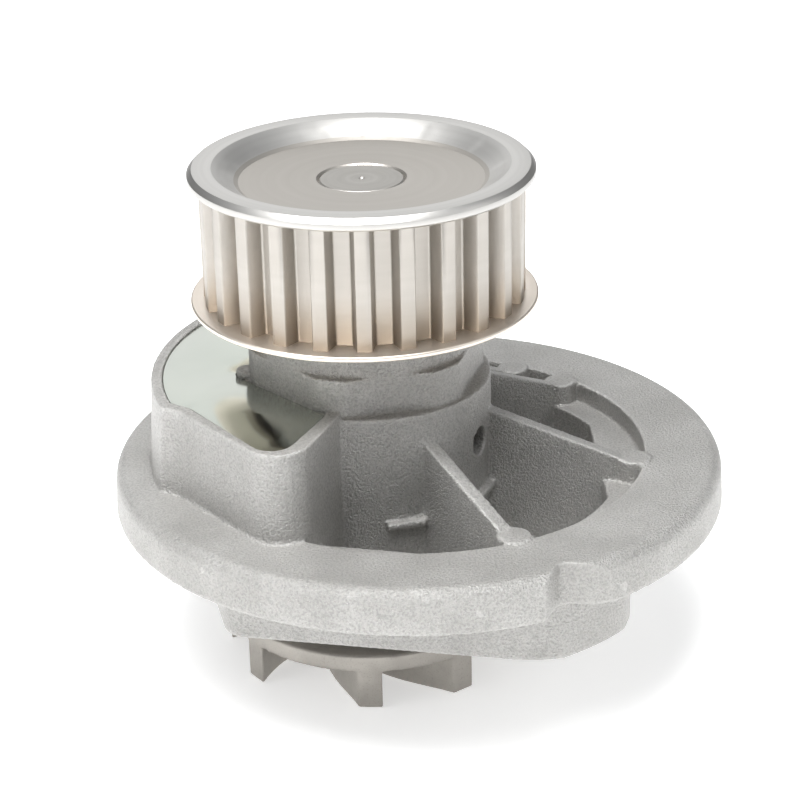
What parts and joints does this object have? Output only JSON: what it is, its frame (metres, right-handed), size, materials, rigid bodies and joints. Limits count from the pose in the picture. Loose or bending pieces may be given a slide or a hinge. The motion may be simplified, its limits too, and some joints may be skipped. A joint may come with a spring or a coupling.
{
  "type": "water pump",
  "caption": "Belt-driven engine water pump: toothed pulley on a bearing shaft, ribbed eccentric clamping ring, leak chamber and open-vane impeller.",
  "frame": {"origin": "centre of the locating spigot, on the clamping ring's mounting face", "axes": "+Z along the shaft towards the pulley; +X from the shaft's axis towards the spigot's centre, which is the direction of the eccentric offset"},
  "size_m": [0.1164, 0.1164, 0.0982],
  "materials": {
    "cast_aluminium": "shot-blasted die-cast aluminium, fine even grain, matt",
    "zinc_plated_sheet": "bright zinc-plated sheet, faint green-grey tint, glossy",
    "black_rubber": "smooth black moulded rubber",
    "brown_rubber": "dark brown moulded seal rubber",
    "bearing_steel": "ground bearing steel",
    "cage_polymer": "natural polyamide, matt",
    "ground_shaft_steel": "ground and turned shaft steel, satin",
    "machined_steel": "bright turned and milled steel with fine turning rings",
    "guide_flange_steel": "thin pressed steel with a warm passivated tint",
    "sintered_iron": "sintered metal, dull warm grey, fine grain",
    "seal_sheet_metal": "drawn stainless sheet",
    "seal_carbon": "lapped carbon graphite",
    "seal_ceramic": "lapped dark silicon carbide"
  },
  "bodies": {
    "pump_body": {"housing": "cast_aluminium", "leak_chamber_cover": "zinc_plated_sheet", "flange_seal_ring": "black_rubber", "bearing_outer_ring": "bearing_steel", "upper_bearing_seal": "brown_rubber", "lower_bearing_seal": "brown_rubber", "seal_case": "seal_sheet_metal", "seal_bellows": "black_rubber", "seal_spring": "seal_sheet_metal"},
    "rotor": {"shaft": "ground_shaft_steel", "slinger": "black_rubber", "pulley": "machined_steel", "pulley_guide_flange": "guide_flange_steel", "impeller": "sintered_iron", "mating_ring": "seal_ceramic", "mating_ring_boot": "black_rubber"},
    "roller_set": {"bearing_rollers": "bearing_steel", "roller_cage": "cage_polymer"},
    "ball_set": {"bearing_balls": "bearing_steel", "ball_cage": "cage_polymer"},
    "seal_face": {"seal_face_ring": "seal_carbon", "seal_retainer": "seal_sheet_metal"}
  },
  "joints": [
    {"name": "shaft_spin", "type": "hinge", "parent": "pump_body", "child": "rotor", "pos_m": [-0.0094, 0, 0.03645], "axis": [0, 0, 1], "continuous": true},
    {"name": "roller_cage_spin", "type": "hinge", "parent": "pump_body", "child": "roller_set", "pos_m": [-0.0094, 0, 0.0459], "axis": [0, 0, 1], "continuous": true},
    {"name": "ball_cage_spin", "type": "hinge", "parent": "pump_body", "child": "ball_set", "pos_m": [-0.0094, 0, 0.027], "axis": [0, 0, 1], "continuous": true},
    {"name": "seal_face_float", "type": "slide", "parent": "pump_body", "child": "seal_face", "axis": [0, 0, 1], "range_m": [0, 0.0008], "stiffness_N_per_m": 400, "springref_m": -0.01, "deforming": ["seal_spring", "seal_bellows"]}
  ],
  "couplings": [
    {"joint": "roller_cage_spin", "follows": "shaft_spin", "ratio": 0.4003},
    {"joint": "ball_cage_spin", "follows": "shaft_spin", "ratio": 0.3622}
  ]
}
